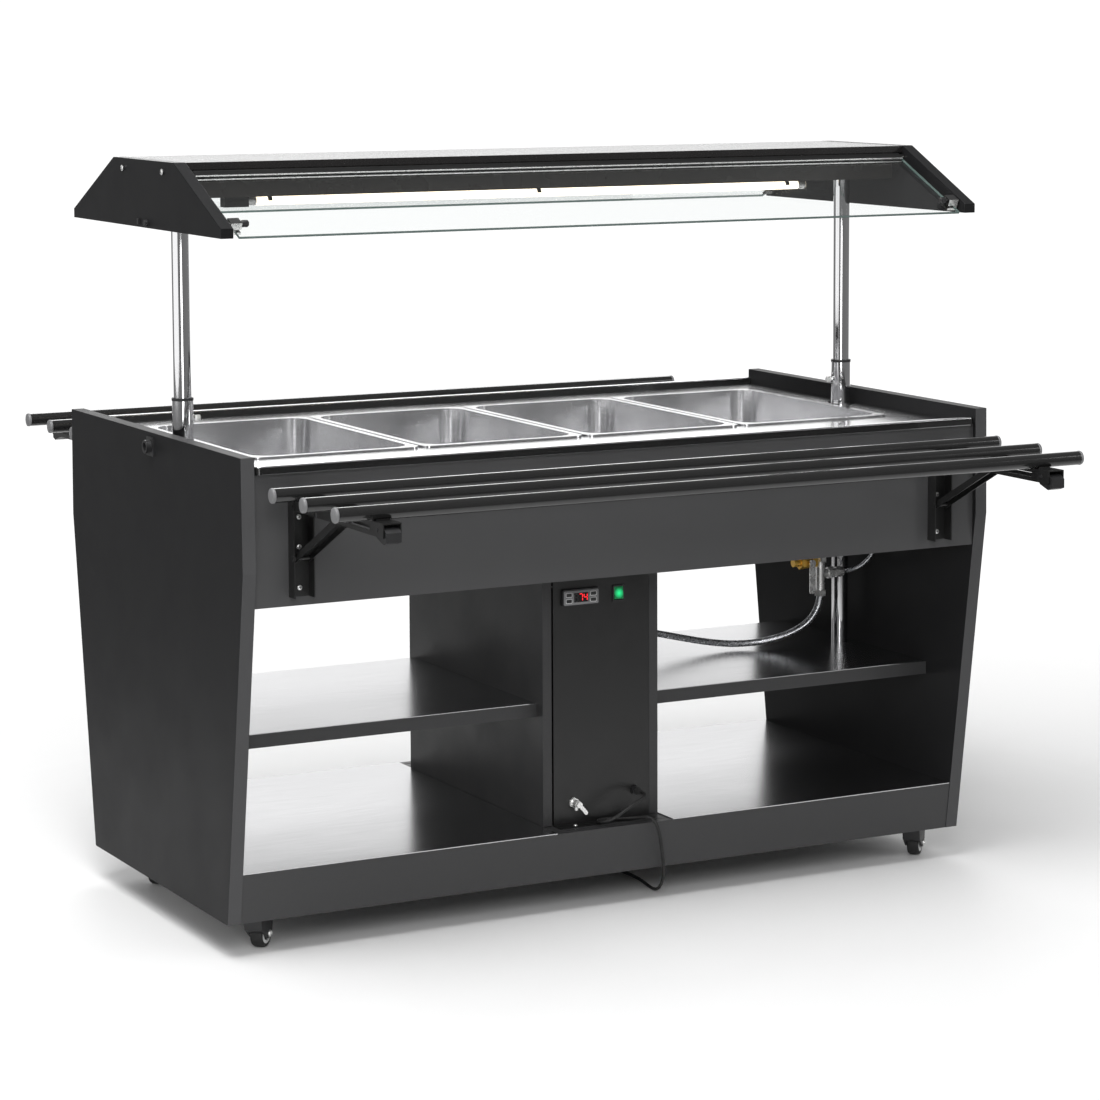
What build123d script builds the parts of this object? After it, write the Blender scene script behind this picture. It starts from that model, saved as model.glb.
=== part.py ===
from build123d import *

import math
import os

# Mobile hot-food servery: four gastronorm pans under a glass canopy on posts,
# with folding tray slides front and rear, on four castors.
# Millimetres. +Z up, origin on the floor under the middle of the counter, front towards -Y.

# --- Cabinet ---------------------------------------------------------------------------
half_length = 755.0          # over the end panels
panel_thick = 25.0
inner_half = half_length - panel_thick
panel_top_z = 884.0
panel_kink_z = 686.0
panel_base_z = 62.0
panel_top_half = 418.0       # half depth of an end panel at its top
panel_kink_half = 421.0
panel_base_half = 330.0
edge_round = 1.0

fascia_face = 410.0
board_thick = 16.0
fascia_bottom_z = 625.0
fascia_top_z = 853.0

base_top_z = 151.0           # top of the plinth boards and of the base board
sheet_thick = 1.5
mid_board_bottom_z = 351.0
mid_board_top_z = 375.0
mid_half_depth = 257.0

column_half = 119.0
column_board = 18.0
column_face = 287.0          # front face of the column's steel panel
column_board_half = 284.0    # half depth of the column's side boards
column_panel_half = 99.0

# --- Counter, pans and tank -----------------------------------------------------------------
deck_top_z = 854.5
deck_half_length = 728.0
rim_top_z = 868.0
rim_width = 14.0
rim_half_depth = 418.0
well_centre_y = 33.0
well_half_length = 653.0
well_half_width = 255.0
tank_bottom_z = 668.0
pan_pitch = 330.0
pan_length = 530.0
pan_width = 325.0
pan_depth = 100.0
pan_sheet = 1.2
pan_inset = 11.5             # from the rim's edge to the body
pan_rest_gap = 0.3
pan_rim_z = deck_top_z + pan_rest_gap
pan_lip = 2.0

# --- Posts and canopy ------------------------------------------------------------------------
post_x = 694.0
post_r = 16.0
sleeve_r = 19.0
sleeve_bore_r = 16.05
sleeve_top_z = 938.0
sleeve_bottom_z = 640.0
thumb_z = 905.0

canopy_half = 762.0
canopy_board = 23.0
canopy_inner = canopy_half - canopy_board
canopy_top_z = 1369.0
canopy_lip_top_z = 1266.0
canopy_bottom_z = 1249.0
canopy_top_half = 148.0
canopy_base_half = 363.0
roof_thick = 2.0
roof_lip = 13.0
housing_half = 112.0
housing_bottom_z = 1304.0

visor_axis_y = 150.0         # hinge line of a glass visor
visor_axis_z = 1349.0
visor_slope = 25.2           # degrees below the horizontal
visor_reach = 233.0
visor_half = 728.0
glass_thick = 5.0

lamp_y = -40.0
lamp_z = 1293.0
lamp_half = 582.0
lamp_r = 8.0

# --- Tray slides --------------------------------------------------------------------------------
tray_x = 648.0               # middle of each folding arm
rail_r = 12.5
rail_half = 730.0
rail_z = 828.0
rail_places = (490.0, 619.0, 747.0)
arm_pivot_y = 428.0
arm_pivot_z = 803.0
arm_end_y = 790.0
arm_half = 16.5
arm_wall = 2.0
arm_top_z = 815.3
arm_bottom_z = 791.3
strut_pivot_z = 709.0
strut_reach = 186.0          # from the arm's pivot to the strut's upper pin
strut_half = 13.5
channel_half = 19.0
channel_bottom_z = 641.0
channel_top_z = 816.0
channel_depth = 25.0
pin_r = 4.0
pin_bore_r = 4.05
latch_pivot_y = 768.0

# --- Castors --------------------------------------------------------------------------------------
castor_x = 684.0
castor_front_y = -284.0
castor_rear_y = 215.0
castor_turn = 45.0           # the wheels trail this many degrees round from +X
castor_trail = 22.0
wheel_r = 25.0
castor_board_z = 70.0        # underside of the boards that carry the castors
castor_board_thick = 18.0
castor_board_start = 620.0   # their inner ends
castor_plate_half = 28.0
fork_half = 17.0
fork_gap_half = 13.6         # between the fork's cheeks

# --- Water and mains --------------------------------------------------------------------------------
valve_y = -60.0
tee_x = 611.0
hose_r = 6.5
fill_hose_r = 4.0
gland_x = 70.0
gland_z = 201.0
gland_length = 22.0
cord_r = 3.0
coil_x = 150.0
coil_y = 60.0
coil_inner_r = 27.0
coil_outer_r = 39.0
coil_height = 18.0

drain_x = -59.0
drain_z = 192.0

os.makedirs("parts", exist_ok=True)


def keep(piece, name):
    """Label one finished piece and write it as parts/NAME.step."""
    piece.part.label = name
    export_step(piece.part, f"parts/{name}.step")


def bar(low, high, mode=Mode.ADD):
    """Add or cut a square-cornered block between two opposite corners."""
    size = [b - a for a, b in zip(low, high)]
    middle = tuple((a + b) / 2 for a, b in zip(low, high))
    with Locations(middle):
        Box(*size, mode=mode)


def along(origin, direction):
    """A plane at origin whose normal is the given direction."""
    return Plane(origin=origin, z_dir=direction)


def rod(origin, direction, radius, length, mode=Mode.ADD):
    """Add or cut a round bar that starts at origin and runs along direction."""
    with BuildSketch(along(origin, direction)) as profile:
        Circle(radius)
    extrude(profile.sketch, amount=length, mode=mode)


def hexagon_bar(origin, direction, across_flats, length):
    """Add a hexagonal bar that starts at origin and runs along direction."""
    with BuildSketch(along(origin, direction)) as profile:
        RegularPolygon(across_flats / 2, 6, major_radius=False)
    extrude(profile.sketch, amount=length)


# =========================== Cabinet boards ===========================

end_outline = [
    (-panel_top_half, panel_top_z),
    (panel_top_half, panel_top_z),
    (panel_kink_half, panel_kink_z),
    (panel_base_half, panel_base_z),
    (-panel_base_half, panel_base_z),
    (-panel_kink_half, panel_kink_z),
]

with BuildPart() as end_panels:
    for start in (-half_length, inner_half):
        with BuildSketch(Plane.YZ.offset(start)):
            Polygon(*end_outline, align=None)
        extrude(amount=panel_thick)
    fillet(end_panels.edges(), edge_round)
keep(end_panels, "end_panels")

with BuildPart() as fascias:
    for side in (-1, 1):
        faces = sorted((side * fascia_face, side * (fascia_face - board_thick)))
        bar((-inner_half, faces[0], fascia_bottom_z), (inner_half, faces[1], fascia_top_z))
keep(fascias, "fascias")


def plinth_face(z):
    """Half depth of the plinth's front face at height z: it follows the end panels' slope."""
    rise = (z - panel_base_z) / (panel_kink_z - panel_base_z)
    return panel_base_half - 1.5 + rise * (panel_kink_half - panel_base_half)


with BuildPart() as cabinet_boards:
    for side in (-1, 1):
        low, high = plinth_face(panel_base_z), plinth_face(base_top_z)
        plinth_outline = [
            (side * low, panel_base_z),
            (side * high, base_top_z),
            (side * (high - board_thick), base_top_z),
            (side * (low - board_thick), panel_base_z),
        ]
        with BuildSketch(Plane.YZ.offset(-inner_half)):
            Polygon(*plinth_outline, align=None)
        extrude(amount=2 * inner_half)
    base_half = plinth_face(base_top_z - board_thick) - board_thick - 1
    bar((-inner_half, -base_half, base_top_z - board_thick), (inner_half, base_half, base_top_z))
    castor_half = plinth_face(castor_board_z) - board_thick - 1
    for side in (-1, 1):
        board_ends = sorted((side * castor_board_start, side * inner_half))
        bar(
            (board_ends[0], -castor_half, castor_board_z),
            (board_ends[1], castor_half, castor_board_z + castor_board_thick),
        )
        shelf_ends = sorted((side * column_half, side * inner_half))
        bar(
            (shelf_ends[0], -mid_half_depth, mid_board_bottom_z),
            (shelf_ends[1], mid_half_depth, mid_board_top_z),
        )
keep(cabinet_boards, "cabinet_boards")

with BuildPart() as steel_shelves:
    for side in (-1, 1):
        ends = sorted((side * (column_half + 0.5), side * (inner_half - 0.5)))
        front = plinth_face(base_top_z)
        bar((ends[0], -front, base_top_z), (ends[1], front, base_top_z + sheet_thick))
        bar(
            (ends[0], -mid_half_depth + 0.5, mid_board_top_z),
            (ends[1], mid_half_depth - 0.5, mid_board_top_z + sheet_thick),
        )
keep(steel_shelves, "steel_shelves")

column_top_z = 640.0
hose_hole_z = 442.0
with BuildPart() as column_sides:
    for start in (-column_half, column_half - column_board):
        low = (start, -column_board_half, base_top_z + sheet_thick)
        bar(low, (start + column_board, column_board_half, column_top_z))
    hole_start = (column_half - column_board, 40, hose_hole_z)
    rod(hole_start, (1, 0, 0), hose_r + 1.5, column_board, Mode.SUBTRACT)
keep(column_sides, "column_sides")

controller_x, controller_z = -44.3, 571.0
controller_size = (76.0, 30.5)
rocker_x, rocker_z = 35.0, 571.5
rocker_size = (24.5, 30.0)
column_screw_places = (-62.0, 77.0)

with BuildPart() as column_panels:
    for side in (-1, 1):
        faces = sorted((side * column_face, side * (column_face - sheet_thick)))
        feet = sorted((side * (column_face + 25), side * (column_face - sheet_thick)))
        bar(
            (-column_panel_half, faces[0], base_top_z + sheet_thick),
            (column_panel_half, faces[1], column_top_z),
        )
        bar(
            (-column_panel_half, feet[0], base_top_z),
            (column_panel_half, feet[1], base_top_z + sheet_thick),
        )
    hole_depth = 2 * sheet_thick
    with BuildSketch(Plane.XZ.offset(column_face + sheet_thick / 2)):
        with Locations((controller_x, controller_z)):
            Rectangle(71.5, 27)
        with Locations((rocker_x, rocker_z)):
            Rectangle(22, 27.5)
        with Locations((gland_x, gland_z)):
            Circle(6.2)
        with Locations((drain_x, drain_z)):
            Circle(6.2)
    extrude(amount=-hole_depth, mode=Mode.SUBTRACT)
keep(column_panels, "column_panels")

# =========================== Counter, tank, pans ===========================

with BuildPart() as counter_deck:
    with BuildSketch(Plane.XY.offset(deck_top_z - sheet_thick)):
        RectangleRounded(2 * deck_half_length, 2 * rim_half_depth, 10)
    extrude(amount=sheet_thick)
    for side in (-1, 1):
        with BuildSketch(Plane.XY.offset(deck_top_z)) as rim:
            with Locations((0, side * (rim_half_depth - rim_width / 2))):
                Rectangle(2 * deck_half_length, rim_width)
            fillet(rim.vertices().group_by(Axis.Y)[-1 if side > 0 else 0], 10)
        extrude(amount=rim_top_z - deck_top_z)
    fillet(counter_deck.edges().group_by(Axis.Z)[-1], 3)
    with BuildSketch(Plane.XY.offset(deck_top_z)):
        with Locations((0, well_centre_y)):
            RectangleRounded(2 * well_half_length, 2 * well_half_width, 22)
        with Locations((-post_x, 0), (post_x, 0)):
            Circle(sleeve_r + 0.1)
    extrude(amount=-sheet_thick, mode=Mode.SUBTRACT)
keep(counter_deck, "counter_deck")

tank_top_z = deck_top_z - sheet_thick
element_legs = (-30.0, 30.0)
with BuildPart() as well_tank:
    tank_low = (-well_half_length - 3, well_centre_y - well_half_width - 2, tank_bottom_z)
    tank_high = (well_half_length + 3, well_centre_y + well_half_width + 2, tank_top_z)
    bar([c - sheet_thick for c in tank_low], (tank_high[0] + 1.5, tank_high[1] + 1.5, tank_top_z))
    bar(tank_low, (tank_high[0], tank_high[1], tank_top_z + 1), Mode.SUBTRACT)
    for leg in element_legs:
        start = (leg, well_centre_y, tank_bottom_z - 3)
        rod(start, (0, 0, 1), 5.4, 6, Mode.SUBTRACT)
keep(well_tank, "well_tank")

element_r = 5.0
element_z = 692.0
with BuildPart() as heating_element:
    with BuildLine() as element_path:
        route = [
            (element_legs[0], well_centre_y, 630),
            (element_legs[0], well_centre_y, element_z),
            (-590, well_centre_y, element_z),
            (-590, well_centre_y - 180, element_z),
            (590, well_centre_y - 180, element_z),
            (590, well_centre_y, element_z),
            (element_legs[1], well_centre_y, element_z),
            (element_legs[1], well_centre_y, 630),
        ]
        FilletPolyline(*route, radius=20)
    with BuildSketch(along(element_path.line @ 0, element_path.line % 0)):
        Circle(element_r)
    sweep()
keep(heating_element, "heating_element")

with BuildPart() as pan_bars:
    for place in (-pan_pitch, 0, pan_pitch):
        under_deck = deck_top_z - sheet_thick
        bar((place - 7, tank_low[1], under_deck - 9), (place + 7, tank_high[1], under_deck))
        low = (place - 7, tank_low[1] + 3, under_deck)
        bar(low, (place + 7, tank_high[1] - 3, deck_top_z - 0.2))
keep(pan_bars, "pan_bars")


def pan_body(centre_x, inset, top, depth, floor_round):
    """The solid of a pan's tapered body, inset from the pan's rim, with a rounded floor edge."""
    with BuildPart() as body:
        with BuildSketch(Plane.XY.offset(top)):
            with Locations((centre_x, well_centre_y)):
                RectangleRounded(pan_width - 2 * inset, pan_length - 2 * inset, 38)
        extrude(amount=-depth, taper=4)
        fillet(body.edges().group_by(Axis.Z)[0], floor_round)
    return body.part


def gastronorm_pan(centre_x):
    """One full-size gastronorm pan, its rim resting on the deck."""
    rim_top = pan_rim_z + pan_lip + pan_sheet
    depth = pan_depth - pan_sheet
    outer = pan_body(centre_x, pan_inset, rim_top - pan_sheet, depth, 12)
    inner = pan_body(centre_x, pan_inset + pan_sheet, rim_top + 0.01, depth, 11)
    with BuildPart() as pan:
        with BuildSketch(Plane.XY.offset(rim_top - pan_sheet)):
            with Locations((centre_x, well_centre_y)):
                RectangleRounded(pan_width, pan_length, 18)
        extrude(amount=pan_sheet)
        with BuildSketch(Plane.XY.offset(pan_rim_z)):
            with Locations((centre_x, well_centre_y)):
                RectangleRounded(pan_width, pan_length, 18)
                RectangleRounded(
                    pan_width - 2 * pan_sheet, pan_length - 2 * pan_sheet, 17, mode=Mode.SUBTRACT
                )
        extrude(amount=pan_lip)
        add(outer)
        add(inner, mode=Mode.SUBTRACT)
    return pan


for number in range(4):
    pan = gastronorm_pan((number - 1.5) * pan_pitch)
    keep(pan, f"pan_{number + 1}")

# =========================== Controls ===========================


def round_plate(origin, direction, size, thick, corner):
    """Add a round-cornered plate that starts at origin and grows along direction."""
    with BuildSketch(Plane(origin=origin, x_dir=(1, 0, 0), z_dir=direction)) as profile:
        RectangleRounded(*size, corner)
    extrude(profile.sketch, amount=thick)


front = (0, -1, 0)
with BuildPart() as control_fittings:
    round_plate((controller_x, -column_face, controller_z), front, controller_size, 6, 3)
    bar(
        (controller_x - 35.5, -column_face, controller_z - 13.3),
        (controller_x + 35.5, -column_face + 58, controller_z + 13.3),
    )
    round_plate((rocker_x, -column_face, rocker_z), front, rocker_size, 2.5, 1.5)
    bar(
        (rocker_x - 10.8, -column_face, rocker_z - 13.6),
        (rocker_x + 10.8, -column_face + 22, rocker_z + 13.6),
    )
    bar(
        (rocker_x - 9.6, -column_face - 3, rocker_z - 12.4),
        (rocker_x + 9.6, -column_face + 14, rocker_z + 12.4),
        Mode.SUBTRACT,
    )
    # Lamp lead socket on the left end panel.
    bar((-half_length - 3, -16, 842), (-half_length, 16, 876))
    rod((-half_length - 3, 0, 859), (-1, 0, 0), 12, 10)
    rod((-half_length - 13, 0, 859), (1, 0, 0), 8, 7, Mode.SUBTRACT)
    # Cable gland: a nut on the panel and a tapered tail that the cord leaves.
    rod((gland_x, -column_face + 6, gland_z), front, 6, 6)
    hexagon_bar((gland_x, -column_face, gland_z), front, 17, 7)
    with BuildSketch(along((gland_x, -column_face - 7, gland_z), front)):
        Circle(6.5)
    with BuildSketch(along((gland_x, -column_face - gland_length, gland_z), front)):
        Circle(4.2)
    loft()
keep(control_fittings, "control_fittings")

rocker_tilt = 7.0
rocker_pivot_y = -column_face + 4
with BuildPart() as rocker_switch:
    tilted = Plane(
        origin=(rocker_x, rocker_pivot_y, rocker_z),
        x_dir=(1, 0, 0),
        z_dir=(0, -math.cos(math.radians(rocker_tilt)), math.sin(math.radians(rocker_tilt))),
    )
    with BuildSketch(tilted):
        Rectangle(18.4, 22.6)
    extrude(amount=8)
    fillet(rocker_switch.faces().sort_by(Axis.Y)[0].edges(), 1.2)
    rod((rocker_x - 9.4, rocker_pivot_y, rocker_z), (1, 0, 0), 2.5, 18.8)
keep(rocker_switch, "rocker_switch")

# =========================== Water ===========================

with BuildPart() as water_valves:
    hexagon_bar((562, valve_y, 554), (1, 0, 0), 24, 10)
    rod((572, valve_y, 554), (1, 0, 0), 12.5, 16)
    hexagon_bar((588, valve_y, 554), (1, 0, 0), 24, 10)
    rod((548, valve_y, 554), (1, 0, 0), 8, 14)
    rod((580, valve_y - 11, 554), front, 4, 8)
    rod((drain_x, -column_face + 12, drain_z), front, 6, 12)
    hexagon_bar((drain_x, -column_face, drain_z), front, 17, 5)
    rod((drain_x, -column_face - 5, drain_z), front, 6.5, 14)
    rod((drain_x, -column_face - 12, drain_z), (0, 0, -1), 4, 12)
    rod((drain_x, -column_face - 19, drain_z), front, 2.5, 4)
keep(water_valves, "water_valves")

with BuildPart() as valve_handle:
    with BuildSketch(along((580, valve_y - 19.3, 554), front)):
        Circle(7)
    extrude(amount=3)
    bar((574, valve_y - 22.3, 494), (586, valve_y - 19.3, 554))
    fillet(valve_handle.edges().filter_by(Axis.Y).group_by(Axis.Z)[0], 5)
keep(valve_handle, "valve_handle")

with BuildPart() as drain_lever:
    lever_start = (drain_x, -column_face - 23.3, drain_z)
    rod(lever_start, front, 5.5, 3)
    with BuildSketch(Plane(origin=lever_start, x_dir=(0.64, 0, -0.77), z_dir=front)):
        with Locations((11, 0)):
            SlotOverall(26, 7)
    extrude(amount=3)
keep(drain_lever, "drain_lever")

outlet_z = 529.0
elbow_x, elbow_y, elbow_z = 716.0, -106.0, 690.0
with BuildPart() as pipe_fittings:
    rod((tee_x, valve_y, 492), (0, 0, 1), 9, 74)
    hexagon_bar((tee_x, valve_y, 552), (0, 0, 1), 22, 14)
    hexagon_bar((tee_x, valve_y, 485), (0, 0, 1), 21, 11)
    rod((tee_x, valve_y, outlet_z), (1, 0, 0), 8, 34)
    hexagon_bar((tee_x + 16, valve_y, outlet_z), (1, 0, 0), 20, 14)
    hexagon_bar((tee_x + 36, valve_y, outlet_z), (1, 0, 0), 18, 14)
    rod((elbow_x, elbow_y, elbow_z), (0, 0, 1), 7, 24)
    tank_side = tank_high[0] + sheet_thick
    rod((elbow_x, elbow_y, elbow_z + 16), (-1, 0, 0), 6, elbow_x - tank_side)
keep(pipe_fittings, "pipe_fittings")


def tube_corner_radii(route):
    """Largest even arc for each corner of a bent tube: 0.45 of its shorter run sets the tangent."""
    points = [Vector(*p) for p in route]
    radii = []
    for before, corner, after in zip(points, points[1:], points[2:]):
        first, second = corner - before, after - corner
        turn = math.radians(first.get_angle(second))
        radii.append(0.45 * min(first.length, second.length) / math.tan(turn / 2))
    return radii


def bent_tube(route, radius):
    """Add a round tube along straight runs joined by tangent arcs to the open part."""
    radii = tube_corner_radii(route)
    with BuildLine() as path:
        FilletPolyline(*route, radius=radii)
    with BuildSketch(along(path.line @ 0, path.line % 0)) as section:
        Circle(radius)
    sweep(section.sketch, path=path.line)
    return radii, path.wire().length


def report_tube(name, piece, radii, length, radius):
    """Print a tube's tightest bend and how its volume compares with section times length."""
    ideal = math.pi * radius**2 * length
    print(f"{name}: length {length:.0f}, volume ratio {piece.part.volume / ideal:.4f}")
    print("  radii", [round(r) for r in radii], "smallest", round(min(radii) / (2 * radius), 2), "diameters")


supply_route = [
    (tee_x, valve_y, 485),
    (tee_x - 3, valve_y + 3, 460),
    (594, -44, 430),
    (562, -20, 405),
    (517, 8, 389.5),
    (465, 28, 386.5),
    (410, 40, 394),
    (350, 46, 408),
    (290, 47, 423),
    (228, 44, 435),
    (170, 41, 441),
    (column_half - 8, 40, hose_hole_z),
]
fill_route = [
    (tee_x + 50, valve_y, outlet_z),
    (682, -61, outlet_z + 1),
    (702, -69, outlet_z + 10),
    (714, -83, outlet_z + 29),
    (718, -96, outlet_z + 55),
    (718, -103, outlet_z + 86),
    (717, -105, outlet_z + 120),
    (elbow_x, elbow_y, elbow_z),
]
with BuildPart() as supply_hose:
    supply_radii, supply_length = bent_tube(supply_route, hose_r)
report_tube("supply hose", supply_hose, supply_radii, supply_length, hose_r)
with BuildPart() as fill_hose:
    fill_radii, fill_length = bent_tube(fill_route, fill_hose_r)
report_tube("fill hose", fill_hose, fill_radii, fill_length, fill_hose_r)
with BuildPart() as water_hoses:
    add(supply_hose.part)
    add(fill_hose.part)
keep(water_hoses, "water_hoses")

# =========================== Mains cord ===========================

gland_tip_y = -column_face - gland_length
cord_route = [
    (gland_x, gland_tip_y, gland_z),
    (gland_x, -322, gland_z),
    (64, -335, 200),
    (51, -343, 196.5),
    (34, -345.5, 190),
    (20, -343.5, 181),
    (6, -341, 171.5),
    (-9, -337.5, 163.5),
    (-20.5, -327, 159),
    (-22, -310.5, 156.8),
    (-12, -297.5, 156),
    (5, -294.5, 155.7),
    (21, -302, 155.8),
    (36, -312, 156.3),
    (50, -323, 158),
    (61, -336.5, 162),
    (69, -350, 162),
    (75, -359.5, 151.5),
    (80, -361, 133.5),
    (86, -356.5, 113),
    (92, -350, 92),
    (98.5, -343.6, 71),
    (104.5, -333.5, 50),
    (109, -320, 31.5),
    (112.5, -303, 16),
    (116, -283, 6.5),
    (120, -259, 3.2),
    (126, -228, 3),
    (133, -192, 3),
    (135, -140, 3),
    (130, -91, 3),
    (121.5, -44, 3),
    (116.5, 1, 3),
    (116, 45, 3),
]
with BuildPart() as power_cord:
    cord_radii, cord_length = bent_tube(cord_route, cord_r)
report_tube("power cord", power_cord, cord_radii, cord_length, cord_r)
keep(power_cord, "power_cord")

with BuildPart() as cord_coil:
    with BuildSketch(Plane.XY.offset(0.3)):
        with Locations((coil_x, coil_y)):
            Circle(coil_outer_r)
            Circle(coil_inner_r, mode=Mode.SUBTRACT)
    extrude(amount=coil_height)
    fillet(cord_coil.edges(), 2.5)
keep(cord_coil, "cord_coil")

plug_x = coil_x - 36
plug_z = 16.0
with BuildPart() as power_plug:
    with BuildSketch(along((plug_x, 73, plug_z), (0, 1, 0))):
        Circle(4)
    with BuildSketch(along((plug_x, 101, plug_z), (0, 1, 0))):
        Circle(7)
    loft()
    with BuildSketch(along((plug_x, 101, plug_z), (0, 1, 0))):
        RectangleRounded(32, 30, 6)
    extrude(amount=34)
    fillet(power_plug.faces().sort_by(Axis.Y)[-1].edges(), 3)
    for pin_side in (-9.5, 9.5):
        rod((plug_x + pin_side, 135, plug_z), (0, 1, 0), 2.4, 19)
keep(power_plug, "power_plug")

# =========================== Posts and sleeves ===========================

with BuildPart() as post_sleeves:
    for side in (-1, 1):
        with BuildSketch(Plane.XY.offset(sleeve_bottom_z)):
            with Locations((side * post_x, 0)):
                Circle(sleeve_r)
                Circle(sleeve_bore_r, mode=Mode.SUBTRACT)
        extrude(amount=sleeve_top_z - sleeve_bottom_z)
        with BuildSketch(Plane.XY.offset(deck_top_z)):
            with Locations((side * post_x, 0)):
                Circle(27)
                Circle(sleeve_r, mode=Mode.SUBTRACT)
        extrude(amount=3)
        with BuildSketch(Plane.XY.offset(sleeve_top_z)):
            with Locations((side * post_x, 0)):
                Circle(sleeve_r + 0.6)
                Circle(sleeve_bore_r, mode=Mode.SUBTRACT)
        extrude(amount=5)
        wall = side * (post_x - sleeve_r)
        rod((wall + side * 1.5, 0, thumb_z), (-side, 0, 0), 6, 3.5)
        rod((wall + side * 6, 0, thumb_z), (-side, 0, 0), 3.05, 12, Mode.SUBTRACT)
keep(post_sleeves, "post_sleeves")

for side, name in ((-1, "left"), (1, "right")):
    with BuildPart() as thumbscrew:
        tip = side * (post_x - post_r - 0.4)
        rod((tip, 0, thumb_z), (-side, 0, 0), 3, 10)
        with BuildSketch(along((side * 671, 0, thumb_z), (-side, 0, 0))):
            RegularPolygon(5.6, 16)
        extrude(amount=10)
        fillet(thumbscrew.faces().filter_by(Axis.X).sort_by(Axis.X)[0 if side > 0 else -1].edges(), 0.8)
    keep(thumbscrew, f"thumbscrew_{name}")

with BuildPart() as canopy_posts:
    foot_z = mid_board_top_z + sheet_thick + 0.3
    for side in (-1, 1):
        with BuildSketch(Plane.XY.offset(foot_z)):
            with Locations((side * post_x, 0)):
                Circle(post_r)
                Circle(post_r - 1.5, mode=Mode.SUBTRACT)
        extrude(amount=housing_bottom_z - foot_z)
        with BuildSketch(Plane.XY.offset(foot_z)):
            with Locations((side * post_x, 0)):
                Circle(post_r)
        extrude(amount=2)
        with BuildSketch(Plane.XY.offset(housing_bottom_z - 3)):
            with Locations((side * post_x, 0)):
                Circle(30)
                Circle(post_r - 1.5, mode=Mode.SUBTRACT)
        extrude(amount=3)
keep(canopy_posts, "canopy_posts")

# =========================== Canopy ===========================

canopy_outline = [
    (-canopy_top_half, canopy_top_z),
    (canopy_top_half, canopy_top_z),
    (canopy_base_half, canopy_lip_top_z),
    (canopy_base_half, canopy_bottom_z),
    (-canopy_base_half, canopy_bottom_z),
    (-canopy_base_half, canopy_lip_top_z),
]
with BuildPart() as canopy_end_panels:
    for side, start in ((-1, -canopy_half), (1, canopy_inner)):
        with BuildSketch(Plane.YZ.offset(start)):
            Polygon(*canopy_outline, align=None)
        extrude(amount=canopy_board)
    fillet(canopy_end_panels.edges(), edge_round)
    for side in (-1, 1):
        for place in (-visor_axis_y, visor_axis_y):
            start = (side * (canopy_inner + 9), place, visor_axis_z)
            rod(start, (-side, 0, 0), 3.05, 12, Mode.SUBTRACT)
keep(canopy_end_panels, "canopy_end_panels")

with BuildPart() as canopy_roof:
    roof_low_z = canopy_top_z - roof_thick
    bar(
        (-canopy_inner, -canopy_top_half + 0.5, roof_low_z),
        (canopy_inner, canopy_top_half - 0.5, canopy_top_z - 0.5),
    )
    for side in (-1, 1):
        lip = sorted((side * (canopy_top_half - 0.5), side * (canopy_top_half - 2)))
        bar(
            (-canopy_inner, lip[0], canopy_top_z - roof_lip),
            (canopy_inner, lip[1], roof_low_z),
        )
keep(canopy_roof, "canopy_roof")

with BuildPart() as lamp_housing:
    bar(
        (-canopy_inner, -housing_half, housing_bottom_z),
        (canopy_inner, housing_half, canopy_top_z - roof_thick),
    )
    bar(
        (-canopy_inner + 2, -housing_half + 2, housing_bottom_z + 2),
        (canopy_inner - 2, housing_half - 2, canopy_top_z),
        Mode.SUBTRACT,
    )
keep(lamp_housing, "lamp_housing")

with BuildPart() as lamp_tube:
    rod((-lamp_half, lamp_y, lamp_z), (1, 0, 0), lamp_r, 2 * lamp_half)
keep(lamp_tube, "lamp_tube")

clip_places = (-540.0, 0.0, 540.0)
with BuildPart() as canopy_fittings:
    for side in (-1, 1):
        holder = sorted((side * (lamp_half + 0.2), side * (lamp_half + 46)))
        bar((holder[0], lamp_y - 11, lamp_z - 10), (holder[1], lamp_y + 11, housing_bottom_z))
    for place in clip_places:
        with BuildSketch(Plane.YZ.offset(place - 4)):
            with Locations((lamp_y, lamp_z)):
                Circle(lamp_r + 1.6)
                Circle(lamp_r + 0.1, mode=Mode.SUBTRACT)
                Rectangle(30, 16, align=(Align.CENTER, Align.MAX), mode=Mode.SUBTRACT)
            with Locations((lamp_y, (lamp_z + lamp_r + 1 + housing_bottom_z) / 2)):
                Rectangle(8, housing_bottom_z - lamp_z - lamp_r - 1)
        extrude(amount=8)
    # Lead outlet on the left end.
    rod((-canopy_half, -15, 1258), (-1, 0, 0), 6, 5)
    bar((-canopy_half - 3, 19, 1254), (-canopy_half, 26, 1264))
    # Screw heads on the outer faces of the end panels.
    for side in (-1, 1):
        for place in (-98, 98):
            rod((side * canopy_half, place, 1351), (side, 0, 0), 5.5, 2.2)
keep(canopy_fittings, "canopy_fittings")

def on_visor(side, reach, height=0.0):
    """Y and Z of a point on a visor: reach along the glass from its hinge line, height above it."""
    slope = math.radians(visor_slope)
    out = visor_axis_y + reach * math.cos(slope) + height * math.sin(slope)
    return side * out, visor_axis_z - reach * math.sin(slope) + height * math.cos(slope)


def visor_block(side, ends, reaches, heights, mode=Mode.ADD):
    """Add or cut a block square to a visor's glass, between two X places."""
    corners = [
        on_visor(side, reaches[0], heights[0]),
        on_visor(side, reaches[1], heights[0]),
        on_visor(side, reaches[1], heights[1]),
        on_visor(side, reaches[0], heights[1]),
    ]
    with BuildSketch(Plane.YZ.offset(ends[0])) as profile:
        Polygon(*corners, align=None)
    extrude(profile.sketch, amount=ends[1] - ends[0], mode=mode)


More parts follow.
